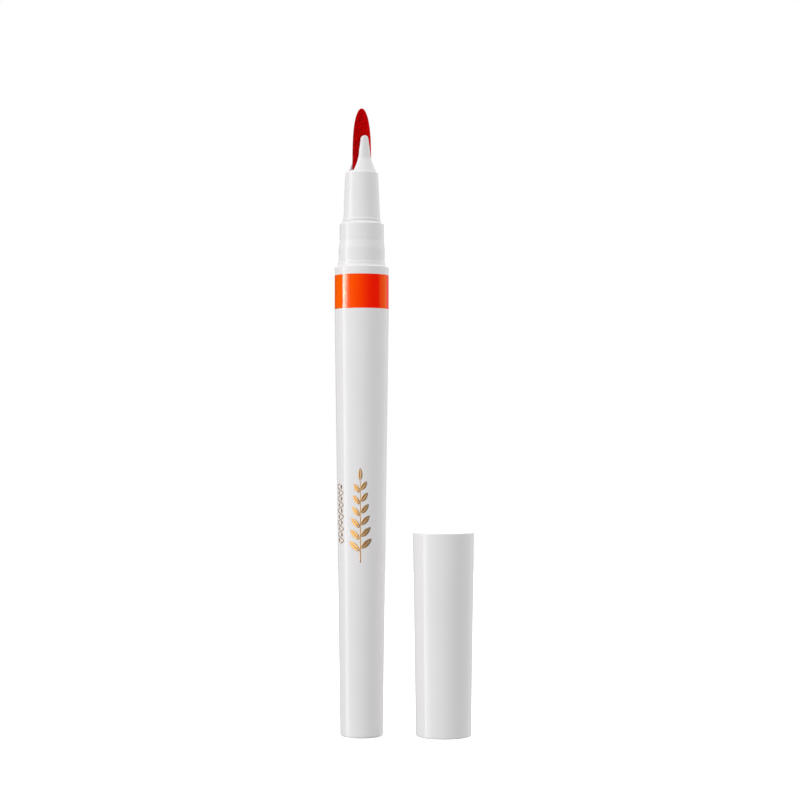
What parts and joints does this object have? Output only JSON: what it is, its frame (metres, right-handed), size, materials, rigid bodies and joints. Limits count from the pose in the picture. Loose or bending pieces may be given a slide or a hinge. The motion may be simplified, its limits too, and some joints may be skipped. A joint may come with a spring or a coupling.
{
  "type": "calligraphy marker",
  "caption": "Slim white felt-tip calligraphy marker with a petal nib held between prongs, standing on its tail, and its tapered cap standing on its mouth beside it.",
  "frame": {"origin": "middle of the tail face, on the surface that the marker stands on", "axes": "+Z runs along the marker from the tail to the nib, +X points from the marker to its cap, and -Y is the side seen in the picture"},
  "size_m": [0.0279, 0.0122, 0.1254],
  "materials": {
    "white_plastic": "high-gloss moulded white",
    "orange_plastic": "high-gloss red-orange",
    "neck_plastic": "high-gloss moulded white",
    "inner_plastic": "natural moulded",
    "wrap_film": "thin film",
    "inked_fibre": "bonded fibre, ink-soaked",
    "red_felt": "fine pressed felt, wet with ink",
    "gold_foil": "hot-stamped foil"
  },
  "bodies": {
    "pen": {"barrel": "white_plastic", "colour_band": "orange_plastic", "tail_plug": "white_plastic", "reservoir_core": "inked_fibre", "reservoir_wrap": "wrap_film", "feed_wick": "inked_fibre", "neck_collar": "neck_plastic", "nozzle": "neck_plastic", "nib_clamp": "inner_plastic", "nib": "red_felt"},
    "cap": {"cap_shell": "white_plastic", "inner_cap": "inner_plastic"}
  },
  "joints": [
    {"name": "cap_lift", "type": "slide", "parent": "pen", "child": "cap", "axis": [0, 0, 1], "range_m": [0, 0.13]}
  ]
}
